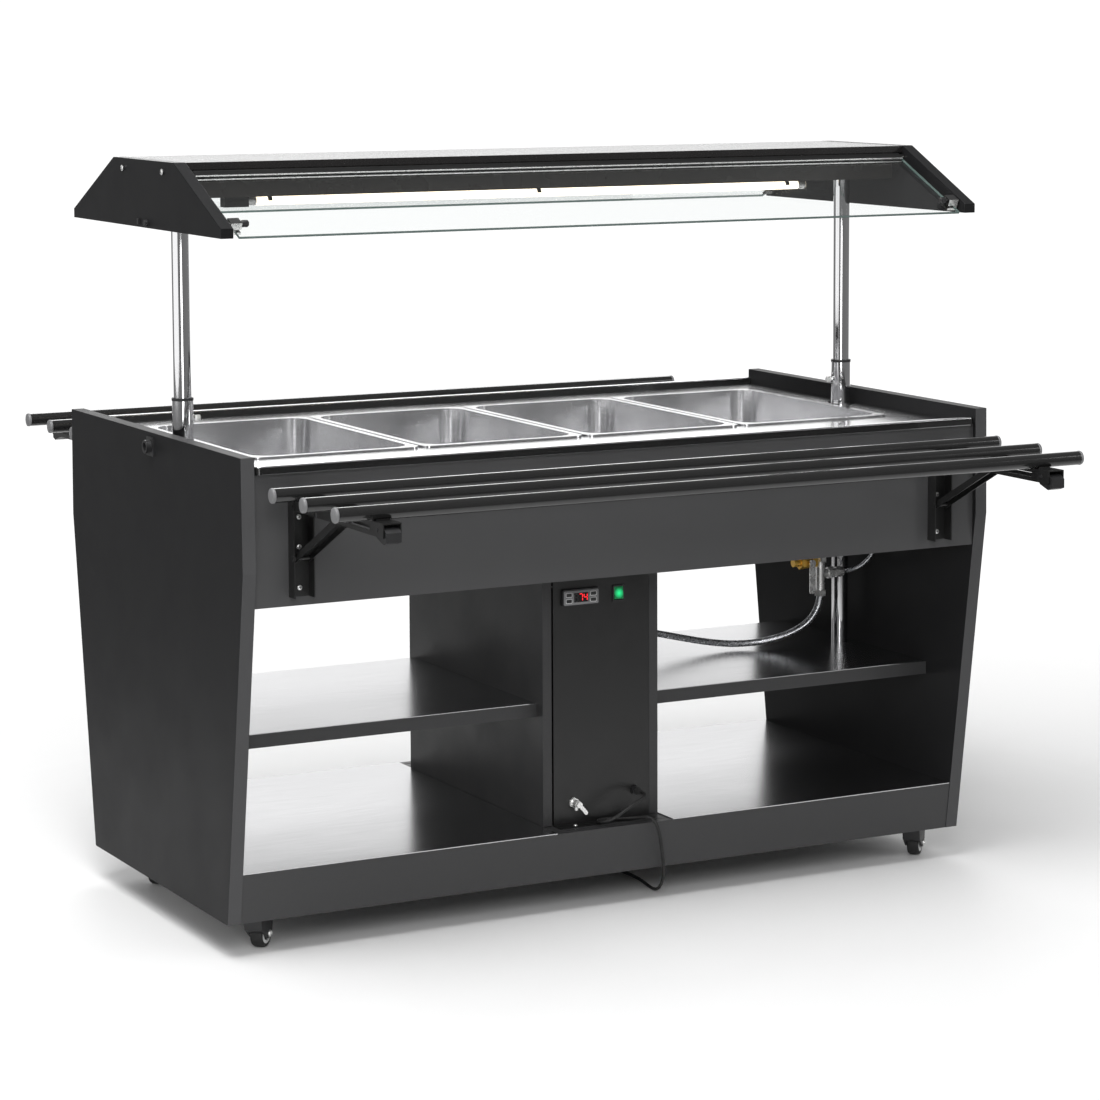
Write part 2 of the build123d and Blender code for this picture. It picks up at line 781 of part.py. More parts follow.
knob_reach = 200.0
knob_height = 9.0
half_glass = glass_thick / 2
for side, name in ((-1, "front"), (1, "rear")):
    with BuildPart() as visor_glass:
        visor_block(side, (-visor_half, visor_half), (8, visor_reach), (-half_glass, half_glass))
        fillet(visor_glass.edges().filter_by(Axis.X), 0.7)
    keep(visor_glass, f"{name}_visor_glass")

    with BuildPart() as visor_fittings:
        hinge = on_visor(side, 0)
        rod((-visor_half, *hinge), (1, 0, 0), 5.5, 2 * visor_half)
        visor_block(side, (-visor_half, visor_half), (0, 16), (-5, 5))
        groove = (-visor_half - 1, visor_half + 1)
        visor_block(side, groove, (8, 17), (-half_glass, half_glass), Mode.SUBTRACT)
        for end in (-1, 1):
            rod((end * visor_half, *hinge), (end, 0, 0), 3, canopy_inner - visor_half + 8)
            clamp = sorted((end * 716, end * 736))
            visor_block(side, clamp, (190, 210), (-7, 15))
            slot = sorted((end * 715, end * visor_half))
            visor_block(side, slot, (180, 220), (-half_glass, half_glass), Mode.SUBTRACT)
            knob_axis = on_visor(side, knob_reach, knob_height)
            rod((end * 714, *knob_axis), (end, 0, 0), 2.55, 24, Mode.SUBTRACT)
    keep(visor_fittings, f"{name}_visor_fittings")

    for end, end_name in ((-1, "left"), (1, "right")):
        with BuildPart() as visor_knob:
            knob_axis = on_visor(side, knob_reach, knob_height)
            rod((end * (canopy_inner - 0.6), *knob_axis), (-end, 0, 0), 2.5, 26)
            rod((end * 714, *knob_axis), (-end, 0, 0), 6.2, 13)
            knob_end = visor_knob.faces().filter_by(Axis.X).sort_by(Axis.X)[0 if end > 0 else -1]
            fillet(knob_end.edges(), 3)
        keep(visor_knob, f"visor_knob_{name}_{end_name}")

# =========================== Tray slides ===========================


def tray_block(side, ends, depths, heights, mode=Mode.ADD):
    """Add or cut a block given by X places, distances out from the middle plane, and heights."""
    low_y, high_y = sorted((side * depths[0], side * depths[1]))
    size = (ends[1] - ends[0], high_y - low_y, heights[1] - heights[0])
    middle = ((ends[0] + ends[1]) / 2, (low_y + high_y) / 2, (heights[0] + heights[1]) / 2)
    with Locations(middle):
        Box(*size, mode=mode)


def cross_rod(side, place_x, half, out, height, radius, mode=Mode.ADD):
    """Add or cut a round bar along X, centred on place_x."""
    rod((place_x - half, side * out, height), (1, 0, 0), radius, 2 * half, mode)


channel_screw_z = (656.0, 726.0, 777.0)
with BuildPart() as tray_wall_channels:
    for side in (-1, 1):
        for place in (-tray_x, tray_x):
            web = (fascia_face, fascia_face + 2)
            heights = (channel_bottom_z, channel_top_z)
            tray_block(side, (place - channel_half, place + channel_half), web, heights)
            for wall in (-channel_half, channel_half - 2):
                reach = (fascia_face + 2, fascia_face + channel_depth)
                tray_block(side, (place + wall, place + wall + 2), reach, heights)
            for height in (arm_pivot_z, strut_pivot_z):
                cross_rod(side, place, channel_half + 1, arm_pivot_y, height, pin_r + 0.1, Mode.SUBTRACT)
            for height in (arm_pivot_z, strut_pivot_z):
                cross_rod(side, place, channel_half, arm_pivot_y, height, pin_r)
                for end in (-1, 1):
                    start = place + end * channel_half
                    rod((start, side * arm_pivot_y, height), (end, 0, 0), 6, 1.5)
keep(tray_wall_channels, "tray_wall_channels")

with BuildPart() as cabinet_screws:
    for side in (-1, 1):
        for place in (-tray_x, tray_x):
            for height in channel_screw_z:
                start = (place, side * (fascia_face + 2), height)
                rod(start, (0, side, 0), 4.5, 2.6)
        for place in column_screw_places:
            start = (place, side * (column_face + 14), base_top_z + sheet_thick)
            rod(start, (0, 0, 1), 3.5, 2)
    fillet(cabinet_screws.edges().filter_by(GeomType.CIRCLE).group_by(SortBy.RADIUS)[-1], 0.5)
keep(cabinet_screws, "cabinet_screws")

strut_rise = arm_pivot_z - strut_pivot_z
strut_length = math.hypot(strut_reach, strut_rise)
strut_up = math.degrees(math.atan2(strut_rise, strut_reach))

for side, name in ((-1, "front"), (1, "rear")):
    with BuildPart() as tray_rails:
        for out in rail_places:
            cross_rod(side, 0, rail_half - 2, out, rail_z, rail_r)
            cross_rod(side, 0, rail_half - 2, out, rail_z, rail_r - 1.5, Mode.SUBTRACT)
        for out in rail_places:
            for end in (-1, 1):
                start = end * (rail_half - 2)
                rod((start, side * out, rail_z), (end, 0, 0), rail_r, 2)
    keep(tray_rails, f"{name}_tray_rails")

    with BuildPart() as tray_arms:
        for place in (-tray_x, tray_x):
            outer = (place - arm_half, place + arm_half)
            inner = (place - arm_half + arm_wall, place + arm_half - arm_wall)
            depths = (arm_pivot_y - 8, arm_end_y)
            tray_block(side, outer, depths, (arm_bottom_z, arm_top_z))
            for out in rail_places:
                saddle = (arm_top_z, arm_top_z + 2.5)
                tray_block(side, (place - 12, place + 12), (out - 7, out + 7), saddle)
                cross_rod(side, place, 13, out, rail_z, rail_r, Mode.SUBTRACT)
            long_depths = (arm_pivot_y - 20, arm_end_y + 5)
            tray_block(side, inner, long_depths, (arm_bottom_z - 5, arm_top_z - arm_wall), Mode.SUBTRACT)
            cross_rod(side, place, arm_half + 1, arm_pivot_y, arm_pivot_z, pin_bore_r, Mode.SUBTRACT)
            cross_rod(side, place, arm_half + 1, latch_pivot_y, arm_pivot_z, 3.05, Mode.SUBTRACT)
            notch_middle = arm_pivot_y + strut_rise - 0.7
            notch = (notch_middle - pin_r - 1.3, notch_middle + pin_r + 1.3)
            notch_heights = (arm_bottom_z - 1, arm_pivot_z + pin_r + 0.4)
            tray_block(side, (outer[0] - 1, outer[1] + 1), notch, notch_heights, Mode.SUBTRACT)
            slot = (arm_pivot_y + strut_reach - 8, arm_pivot_y + strut_length + strut_rise + 8)
            slot_heights = (arm_pivot_z - pin_bore_r, arm_pivot_z + pin_bore_r)
            tray_block(side, (outer[0] - 1, outer[1] + 1), slot, slot_heights, Mode.SUBTRACT)
    keep(tray_arms, f"{name}_tray_arms")

    with BuildPart() as tray_struts:
        for place in (-tray_x, tray_x):
            run = math.radians(strut_up)
            along_strut = (0, side * math.cos(run), math.sin(run))
            start = (place, side * arm_pivot_y, strut_pivot_z)
            frame = Plane(origin=start, x_dir=(1, 0, 0), z_dir=along_strut)
            section_up = 1 if frame.y_dir.Z > 0 else -1
            with BuildSketch(frame.offset(-8)):
                Rectangle(2 * strut_half, 12)
                with Locations((0, -section_up * 1.5)):
                    Rectangle(2 * strut_half - 4, 9, mode=Mode.SUBTRACT)
                with Locations((0, -section_up * 5)):
                    Rectangle(2 * strut_half - 4, 3, mode=Mode.SUBTRACT)
            extrude(amount=strut_length + 15)
            cross_rod(side, place, strut_half + 1, arm_pivot_y, strut_pivot_z, pin_bore_r, Mode.SUBTRACT)
            tip = arm_pivot_y + strut_reach
            cross_rod(side, place, strut_half + 0.6, tip, arm_pivot_z, pin_r)
    keep(tray_struts, f"{name}_tray_struts")

    with BuildPart() as tray_latches:
        for place in (-tray_x, tray_x):
            with BuildSketch(Plane.YZ.offset(place - strut_half)):
                Polygon(
                    (side * (latch_pivot_y - 18), 800),
                    (side * (latch_pivot_y - 16), 807),
                    (side * (latch_pivot_y + 18), 807),
                    (side * (latch_pivot_y + 28), 800),
                    (side * (latch_pivot_y + 28), 784),
                    (side * (latch_pivot_y + 16), 780),
                    (side * (latch_pivot_y - 8), 788),
                    align=None,
                )
            extrude(amount=2 * strut_half)
            fillet(tray_latches.edges().filter_by(Axis.X).group_by(Axis.Z)[0], 2)
            cross_rod(side, place, arm_half + 1, latch_pivot_y, arm_pivot_z, 3)
    keep(tray_latches, f"{name}_tray_latches")

# =========================== Castors ===========================

castor_places = [
    ("front_left", -castor_x, castor_front_y),
    ("front_right", castor_x, castor_front_y),
    ("rear_left", -castor_x, castor_rear_y),
    ("rear_right", castor_x, castor_rear_y),
]
turn = math.radians(castor_turn)
trail_dir = (math.cos(turn), math.sin(turn), 0)
axle_dir = (-math.sin(turn), math.cos(turn), 0)

with BuildPart() as castor_plates:
    for name, place_x, place_y in castor_places:
        with BuildSketch(Plane.XY.offset(castor_board_z - 3)):
            with Locations((place_x, place_y)):
                RectangleRounded(2 * castor_plate_half, 2 * castor_plate_half, 5)
        extrude(amount=3)
        rod((place_x, place_y, castor_board_z - 8), (0, 0, 1), 15, 5)
        rod((place_x, place_y, castor_board_z - 18), (0, 0, 1), 4, 10)
keep(castor_plates, "castor_plates")

for name, place_x, place_y in castor_places:
    hub = (place_x + castor_trail * trail_dir[0], place_y + castor_trail * trail_dir[1], wheel_r)
    with BuildPart() as castor_fork:
        crown_z = panel_base_z - 0.8
        across = (-axle_dir[0], -axle_dir[1], 0)
        side_plane = Plane(origin=(place_x, place_y, 0), x_dir=trail_dir, z_dir=across)
        hood = [
            (-17, crown_z - 5),
            (-15, crown_z),
            (castor_trail + 4, crown_z),
            (castor_trail + 15, crown_z - 12),
            (castor_trail + 10, wheel_r - 7),
            (castor_trail - 9, wheel_r - 7),
            (-12, crown_z - 24),
        ]
        with BuildSketch(side_plane.offset(-fork_half)):
            Polygon(*hood, align=None)
        extrude(amount=2 * fork_half)
        with BuildSketch(side_plane.offset(-fork_gap_half)):
            with Locations((castor_trail, wheel_r)):
                Circle(wheel_r + 1.6)
            Polygon((-30, -5), (60, -5), (60, wheel_r - 2), (-30, wheel_r - 2), align=None)
        extrude(amount=2 * fork_gap_half, mode=Mode.SUBTRACT)
        rod((place_x, place_y, 40), (0, 0, 1), 4.05, 30, Mode.SUBTRACT)
        axle_start = [h - 18.5 * a for h, a in zip(hub, axle_dir)]
        rod(axle_start, axle_dir, 3, 37)
    keep(castor_fork, f"castor_fork_{name}")

    with BuildPart() as castor_wheel:
        tread_start = [h - 12 * a for h, a in zip(hub, axle_dir)]
        rod(tread_start, axle_dir, wheel_r, 24)
        fillet(castor_wheel.edges().filter_by(GeomType.CIRCLE), 5)
        bore_start = [h - 14 * a for h, a in zip(hub, axle_dir)]
        rod(bore_start, axle_dir, 3.05, 28, Mode.SUBTRACT)
    keep(castor_wheel, f"castor_wheel_{name}")
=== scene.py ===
import math

import bmesh
import bpy
from mathutils import Matrix, Vector


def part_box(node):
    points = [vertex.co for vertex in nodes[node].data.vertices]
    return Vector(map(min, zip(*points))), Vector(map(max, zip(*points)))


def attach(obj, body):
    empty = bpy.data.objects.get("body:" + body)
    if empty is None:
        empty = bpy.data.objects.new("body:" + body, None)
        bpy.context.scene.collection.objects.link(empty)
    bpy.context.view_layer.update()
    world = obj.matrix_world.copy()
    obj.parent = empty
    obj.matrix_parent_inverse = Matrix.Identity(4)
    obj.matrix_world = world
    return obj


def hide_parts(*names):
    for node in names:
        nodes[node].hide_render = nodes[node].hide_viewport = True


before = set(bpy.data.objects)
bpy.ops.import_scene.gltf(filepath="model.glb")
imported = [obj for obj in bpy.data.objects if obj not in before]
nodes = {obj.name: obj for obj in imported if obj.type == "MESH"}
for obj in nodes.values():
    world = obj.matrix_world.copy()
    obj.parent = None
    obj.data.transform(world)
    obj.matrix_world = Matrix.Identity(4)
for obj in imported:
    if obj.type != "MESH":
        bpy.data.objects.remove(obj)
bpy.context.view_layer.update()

MM = 0.001
COLLAR_FROM = 938.1 * MM                # height from which a sleeve is its dark collar
RIM_FROM = 855.2 * MM                   # height from which the deck is its raised rim
VISOR_SLOPE = math.radians(25.2)        # of the glass below the horizontal
FRONT_AND_REAR = (("front", -1), ("rear", 1))
LEFT_AND_RIGHT = (("left", -1), ("right", 1))


# ---------------------------------------------------------------- camera, floor and light

def look_camera():
    """The camera of the reference view: its place, heading and lens."""
    heading, pitch, roll = math.radians(28.56), math.radians(-6.25), math.radians(0.12)
    data = bpy.data.cameras.new("camera")
    data.lens, data.sensor_width = 111.82, 36.0
    data.shift_x, data.shift_y = -0.0636, -0.1455
    data.clip_end = 60.0
    camera = bpy.data.objects.new("camera", data)
    camera.location = (-2.9085, -5.7037, 1.6196)
    turn = Matrix.Rotation(-heading, 4, "Z")
    tip = Matrix.Rotation(math.pi / 2 + pitch, 4, "X")
    spin = Matrix.Rotation(-roll, 4, "Z")
    camera.rotation_mode = "QUATERNION"
    camera.rotation_quaternion = (turn @ tip @ spin).to_quaternion()
    bpy.context.collection.objects.link(camera)
    bpy.context.scene.camera = camera


def area_light(name, place, target, size, watts):
    """A white soft box aimed at a point."""
    data = bpy.data.lights.new(name, "AREA")
    data.shape, data.size, data.size_y = "RECTANGLE", size[0], size[1]
    data.energy = watts
    lamp = bpy.data.objects.new(name, data)
    lamp.location = place
    lamp.rotation_mode = "QUATERNION"
    lamp.rotation_quaternion = (Vector(target) - Vector(place)).to_track_quat("-Z", "Y")
    bpy.context.collection.objects.link(lamp)


def surround():
    """A white backdrop behind the counter that falls off to grey towards the front and above."""
    world = bpy.data.worlds.new("studio")
    world.use_nodes = True
    tree = world.node_tree
    place = tree.nodes.new("ShaderNodeTexCoord")
    facing = tree.nodes.new("ShaderNodeVectorMath")
    facing.operation = "DOT_PRODUCT"
    facing.inputs[1].default_value = Vector((0.48, 0.87, -0.06)).normalized()
    tree.links.new(place.outputs["Generated"], facing.inputs[0])
    ramp = tree.nodes.new("ShaderNodeValToRGB")
    elements = ramp.color_ramp.elements
    for number, (position, level) in enumerate(((0.0, 0.16), (0.5, 0.18), (0.86, 0.20), (0.95, 1.0))):
        stop = elements[number] if number < len(elements) else elements.new(position)
        stop.position = position
        stop.color = (level, level, level, 1.0)
    spread = tree.nodes.new("ShaderNodeMapRange")
    spread.inputs["From Min"].default_value = -1.0
    tree.links.new(facing.outputs["Value"], spread.inputs["Value"])
    tree.links.new(spread.outputs["Result"], ramp.inputs["Fac"])
    backdrop = tree.nodes["Background"]
    tree.links.new(ramp.outputs["Color"], backdrop.inputs["Color"])
    backdrop.inputs["Strength"].default_value = 1.1
    bpy.context.scene.world = world


def pale_floor():
    """A pale painted floor that thins out into the surround beyond the counter."""
    bpy.ops.mesh.primitive_plane_add(size=12, location=(0, 0, 0))
    floor = bpy.context.object
    floor.name = "floor"
    paint = surface("floor_paint", (0.88, 0.88, 0.88), (0.92, 0.92, 0.92), rough=(0.6, 0.7), specular=0.2)
    tree = paint.node_tree
    place = tree.nodes.new("ShaderNodeTexCoord")
    reach = tree.nodes.new("ShaderNodeVectorMath")
    reach.operation = "LENGTH"
    tree.links.new(place.outputs["Object"], reach.inputs[0])
    fade = ranged(tree, reach.outputs["Value"], 1.0, 0.0, 1.4, 3.2)
    tree.links.new(fade, tree.nodes["Principled BSDF"].inputs["Alpha"])
    floor.data.materials.append(paint)


def studio():
    """Plain pale floor, a graded surround and soft lights."""
    bpy.context.scene.view_settings.view_transform = "Standard"
    surround()
    pale_floor()
    area_light("key", (-2.4, -5.2, 3.2), (0, 0, 0.7), (1.6, 2.4), 110)
    area_light("fill", (3.8, -3.4, 2.2), (0, 0, 0.7), (0.8, 2.4), 30)
    area_light("left", (-4.4, 0.2, 1.7), (0, 0, 1.0), (6.0, 2.4), 46)
    area_light("low", (-1.8, -4.6, 0.55), (0.5, 0, 0.45), (1.6, 0.7), 12)
    area_light("top", (-1.4, -1.0, 4.6), (0, 0, 0.9), (3.0, 2.4), 190)
    area_light("back", (1.6, 3.6, 3.2), (0, 0.3, 0.8), (3.0, 1.6), 70)


# ---------------------------------------------------------------- materials

def node_of(tree, kind, **values):
    """A new shader node with its input sockets set by name."""
    made = tree.nodes.new(kind)
    for key, value in values.items():
        made.inputs[key.replace("_", " ")].default_value = value
    return made


def noise_of(tree, scale, detail=3.0, stretch=(1.0, 1.0, 1.0)):
    """Fractal noise in object space, stretched along chosen axes; returns its Fac socket."""
    place = tree.nodes.new("ShaderNodeTexCoord")
    mapping = tree.nodes.new("ShaderNodeMapping")
    mapping.inputs["Scale"].default_value = stretch
    noise = node_of(tree, "ShaderNodeTexNoise", Scale=scale, Detail=detail)
    tree.links.new(place.outputs["Object"], mapping.inputs["Vector"])
    tree.links.new(mapping.outputs["Vector"], noise.inputs["Vector"])
    return noise.outputs["Fac"]


def ranged(tree, source, low, high, start=0.3, end=0.7):
    """Maps a 0..1 socket to low..high between two thresholds."""
    spread = tree.nodes.new("ShaderNodeMapRange")
    for key, value in (("From Min", start), ("From Max", end), ("To Min", low), ("To Max", high)):
        spread.inputs[key].default_value = value
    tree.links.new(source, spread.inputs["Value"])
    return spread.outputs["Result"]


def blended(tree, source, first, second, start=0.3, end=0.7):
    """A colour between two, led by a 0..1 socket."""
    mix = tree.nodes.new("ShaderNodeMix")
    mix.data_type = "RGBA"
    mix.inputs["A"].default_value = (*first, 1.0)
    mix.inputs["B"].default_value = (*second, 1.0)
    tree.links.new(ranged(tree, source, 0.0, 1.0, start, end), mix.inputs["Factor"])
    return mix.outputs["Result"]


def bumped(tree, shader, source, strength, depth):
    """Raises a shader's surface by a 0..1 socket."""
    bump = tree.nodes.new("ShaderNodeBump")
    bump.inputs["Strength"].default_value = strength
    bump.inputs["Distance"].default_value = depth
    tree.links.new(source, bump.inputs["Height"])
    tree.links.new(bump.outputs["Normal"], shader.inputs["Normal"])


def surface(name, dark, light, rough, metal=0.0, patch=9.0, fine=900.0, stretch=(1.0, 1.0, 1.0),
            bump=0.05, depth=0.0004, coat=0.0, specular=0.5):
    """An opaque material: patchy colour, uneven gloss and a fine surface grain."""
    material = bpy.data.materials.new(name)
    material.use_nodes = True
    tree = material.node_tree
    shader = tree.nodes["Principled BSDF"]
    shader.inputs["Metallic"].default_value = metal
    shader.inputs["Coat Weight"].default_value = coat
    shader.inputs["Specular IOR Level"].default_value = specular
    patches = noise_of(tree, patch)
    grain = noise_of(tree, fine, 4.0, stretch)
    tree.links.new(blended(tree, grain, dark, light, 0.25, 0.75), shader.inputs["Base Color"])
    tree.links.new(ranged(tree, patches, rough[0], rough[1]), shader.inputs["Roughness"])
    bumped(tree, shader, grain, bump, depth)
    return material


def size_along(tree, source, axis):
    """The unsigned size of one component of a vector socket."""
    split = tree.nodes.new("ShaderNodeSeparateXYZ")
    tree.links.new(source, split.inputs["Vector"])
    size = tree.nodes.new("ShaderNodeMath")
    size.operation = "ABSOLUTE"
    tree.links.new(split.outputs[axis], size.inputs[0])
    return size.outputs["Value"]


def edge_banded(name, dark, light, band, rough, specular):
    """Laminate board with a paler banding on its front and rear edges."""
    material = surface(name, dark, light, rough, fine=1400.0, bump=0.10, specular=specular)
    tree = material.node_tree
    shader = tree.nodes["Principled BSDF"]
    face_colour = shader.inputs["Base Color"].links[0].from_socket
    geometry = tree.nodes.new("ShaderNodeNewGeometry")
    mix = tree.nodes.new("ShaderNodeMix")
    mix.data_type = "RGBA"
    mix.inputs["B"].default_value = (*band, 1.0)
    banded = ranged(tree, size_along(tree, geometry.outputs["True Normal"], "Y"), 0.0, 1.0, 0.55, 0.75)
    tree.links.new(banded, mix.inputs["Factor"])
    tree.links.new(face_colour, mix.inputs["A"])
    tree.links.new(mix.outputs["Result"], shader.inputs["Base Color"])
    return material


def brushed(name, dark, light, rough, along, patch=3.0):
    """Rolled stainless sheet with its grain along one axis."""
    stretch = [90.0, 90.0, 90.0]
    stretch["XYZ".index(along)] = 1.0
    return surface(name, dark, light, rough, metal=1.0, patch=patch, fine=12.0, stretch=stretch,
                   bump=0.035, depth=0.0002)


def glass():
    """Clear toughened glass: a faint green body, a grazing sheen and a few dusty smears."""
    material = bpy.data.materials.new("visor_glass")
    material.use_nodes = True
    tree = material.node_tree
    tree.nodes.remove(tree.nodes["Principled BSDF"])
    clear = node_of(tree, "ShaderNodeBsdfTransparent", Color=(0.985, 0.994, 0.992, 1.0))
    sheen = node_of(tree, "ShaderNodeBsdfGlossy", Color=(1.0, 1.0, 1.0, 1.0))
    tree.links.new(ranged(tree, noise_of(tree, 7.0, 5.0), 0.01, 0.06, 0.45, 0.8), sheen.inputs["Roughness"])
    facing = node_of(tree, "ShaderNodeLayerWeight", Blend=0.5)
    sharp = tree.nodes.new("ShaderNodeMath")
    sharp.operation = "POWER"
    sharp.inputs[1].default_value = 5.0
    tree.links.new(facing.outputs["Facing"], sharp.inputs[0])
    mixed = tree.nodes.new("ShaderNodeMixShader")
    share = ranged(tree, sharp.outputs["Value"], 0.02, 0.75, 0.0, 1.0)
    tree.links.new(share, mixed.inputs["Fac"])
    tree.links.new(clear.outputs["BSDF"], mixed.inputs[1])
    tree.links.new(sheen.outputs["BSDF"], mixed.inputs[2])
    tree.links.new(mixed.outputs["Shader"], tree.nodes["Material Output"].inputs["Surface"])
    return material


def uneven_light(tree):
    """A light that varies a little over its surface."""
    return ranged(tree, noise_of(tree, 40.0), 1.62, 1.8)


def tube_light(tree):
    """A fluorescent tube's light: even, and darker towards its two ends."""
    place = tree.nodes.new("ShaderNodeTexCoord")
    return ranged(tree, size_along(tree, place.outputs["Object"], "X"), 2.6, 1.0, 0.545, 0.582)


def rocker_light(tree):
    """A lit rocker: brightest in its middle, nearly dark at its rim."""
    low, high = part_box("rocker_switch")
    place = tree.nodes.new("ShaderNodeTexCoord")
    reach = tree.nodes.new("ShaderNodeVectorMath")
    reach.operation = "DISTANCE"
    reach.inputs[1].default_value = ((low.x + high.x) / 2, low.y, (low.z + high.z) / 2)
    tree.links.new(place.outputs["Object"], reach.inputs[0])
    return ranged(tree, reach.outputs["Value"], 1.1, 0.06, 1.5 * MM, 10 * MM)


def glowing(name, colour, body, light_of):
    """A lit surface; light_of adds the socket of its strength to the material's tree."""
    material = surface(name, tuple(0.9 * c for c in body), body, rough=(0.25, 0.4))
    tree = material.node_tree
    shader = tree.nodes["Principled BSDF"]
    shader.inputs["Emission Color"].default_value = (*colour, 1.0)
    tree.links.new(light_of(tree), shader.inputs["Emission Strength"])
    return material


FINISH = {}


def make_finishes():
    """Every material, by a short name."""
    steel = (0.50, 0.50, 0.51), (0.66, 0.66, 0.67)
    FINISH.update(
        laminate=edge_banded("laminate", (0.013, 0.013, 0.0135), (0.024, 0.024, 0.025), (0.080, 0.080, 0.082),
                             (0.30, 0.40), 0.03),
        canopy=surface("canopy_laminate", (0.009, 0.009, 0.0095), (0.017, 0.017, 0.018), (0.30, 0.40),
                       fine=1400.0, bump=0.10, specular=0.08),
        fascia=surface("fascia_laminate", (0.050, 0.050, 0.051), (0.080, 0.080, 0.082), (0.34, 0.46),
                       fine=1400.0, bump=0.10, specular=0.35),
        boards=surface("board_laminate", (0.034, 0.034, 0.035), (0.055, 0.055, 0.056), (0.36, 0.48),
                       fine=1400.0, bump=0.10, specular=0.30),
        shelf=brushed("shelf_steel", *steel, (0.20, 0.24), "X"),
        deck=brushed("deck_steel", (0.82, 0.82, 0.83), (0.92, 0.92, 0.93), (0.15, 0.21), "X"),
        roof=surface("roof_gloss", (0.012, 0.011, 0.011), (0.018, 0.017, 0.017), (0.16, 0.24), patch=6.0,
                     fine=500.0, bump=0.03, depth=0.0002),
        glass_edge=surface("glass_edge", (0.09, 0.13, 0.12), (0.14, 0.19, 0.18), (0.12, 0.22), patch=30.0,
                           fine=400.0, bump=0.03, depth=0.0002),
        pan=surface("pan_steel", (0.66, 0.66, 0.67), (0.74, 0.74, 0.75), (0.16, 0.26), metal=1.0, patch=14.0,
                    fine=900.0, bump=0.012, depth=0.0001),
        chrome=surface("chrome", (0.74, 0.74, 0.75), (0.80, 0.80, 0.81), (0.03, 0.08), metal=1.0, patch=20.0,
                       fine=500.0, bump=0.01, depth=0.0001),
        black_steel=surface("black_powder_coat", (0.008, 0.008, 0.008), (0.014, 0.014, 0.014), (0.28, 0.38),
                            patch=25.0, fine=700.0, bump=0.16, depth=0.0003),
        gloss_black=surface("black_gloss_tube", (0.012, 0.012, 0.012), (0.018, 0.018, 0.018), (0.10, 0.18),
                            patch=12.0, fine=500.0, bump=0.04, depth=0.0002, coat=0.4),
        housing=surface("lamp_housing_paint", (0.024, 0.022, 0.020), (0.036, 0.033, 0.030), (0.22, 0.34),
                        patch=12.0, fine=500.0, bump=0.08, specular=0.4),
        plastic=surface("black_plastic", (0.012, 0.012, 0.013), (0.020, 0.020, 0.021), (0.35, 0.5),
                        patch=60.0, fine=1600.0, bump=0.15, depth=0.0002),
        grey_plastic=surface("grey_plastic", (0.16, 0.16, 0.165), (0.22, 0.22, 0.225), (0.3, 0.42),
                             patch=60.0, fine=1500.0, bump=0.10, depth=0.0002),
        rubber=surface("rubber", (0.012, 0.012, 0.012), (0.024, 0.024, 0.024), (0.5, 0.7),
                       patch=60.0, fine=1200.0, bump=0.2, depth=0.0003, specular=0.35),
        brass=surface("brass", (0.78, 0.46, 0.08), (0.90, 0.58, 0.13), (0.26, 0.38), metal=0.7, patch=80.0,
                      fine=800.0, bump=0.06, depth=0.0002),
        nickel=surface("nickel_plate", (0.80, 0.80, 0.79), (0.90, 0.90, 0.89), (0.22, 0.34), metal=0.7,
                       patch=60.0, fine=700.0, bump=0.05, depth=0.0002),
        braid=surface("braid_wire", (0.42, 0.43, 0.45), (0.66, 0.67, 0.69), (0.22, 0.36), metal=1.0,
                      patch=200.0, fine=900.0, bump=0.08, depth=0.0002),
        glass=glass(),
        lamp=glowing("lamp_glow", (1.0, 0.86, 0.66), (0.9, 0.88, 0.82), tube_light),
        green=glowing("rocker_glow", (0.02, 0.80, 0.26), (0.01, 0.16, 0.05), rocker_light),
        pale=surface("pale_plastic", (0.58, 0.58, 0.58), (0.66, 0.66, 0.66), (0.3, 0.42),
                     patch=60.0, fine=1500.0, bump=0.08, depth=0.0002),
        red=glowing("digit_glow", (1.0, 0.02, 0.03), (0.5, 0.02, 0.03), uneven_light),
        window=surface("display_window", (0.004, 0.003, 0.003), (0.008, 0.006, 0.006), (0.05, 0.10),
                       patch=60.0, fine=900.0, bump=0.02, depth=0.0001, coat=0.6),
    )


CAD_FINISH = {
    "laminate": ["end_panels"],
    "canopy": ["canopy_end_panels"],
    "fascia": ["fascias"],
    "boards": ["cabinet_boards", "column_sides"],
    "shelf": ["steel_shelves", "well_tank", "pan_bars"],
    "deck": ["counter_deck"],
    "pan": ["pan_1", "pan_2", "pan_3", "pan_4"],
    "chrome": ["canopy_posts", "post_sleeves"],
    "nickel": ["heating_element", "pipe_fittings", "valve_handle", "drain_lever", "cabinet_screws",
               "castor_plates"],
    "black_steel": ["column_panels", "tray_wall_channels", "front_tray_arms", "rear_tray_arms",
                    "front_tray_struts", "rear_tray_struts", "front_visor_fittings", "rear_visor_fittings"],
    "gloss_black": ["front_tray_rails", "rear_tray_rails"],
    "roof": ["canopy_roof"],
    "housing": ["lamp_housing"],
    "plastic": ["control_fittings", "canopy_fittings", "thumbscrew_left", "thumbscrew_right",
                "front_tray_latches", "rear_tray_latches", "power_plug", "visor_knob_front_left",
                "visor_knob_front_right", "visor_knob_rear_left", "visor_knob_rear_right",
                "castor_fork_front_left", "castor_fork_front_right", "castor_fork_rear_left",
                "castor_fork_rear_right"],
    "green": ["rocker_switch"],
    "brass": ["water_valves"],
    "braid": ["water_hoses"],
    "glass": ["front_visor_glass", "rear_visor_glass"],
    "lamp": ["lamp_tube"],
    "rubber": ["castor_wheel_front_left", "castor_wheel_front_right", "castor_wheel_rear_left",
               "castor_wheel_rear_right"],
}


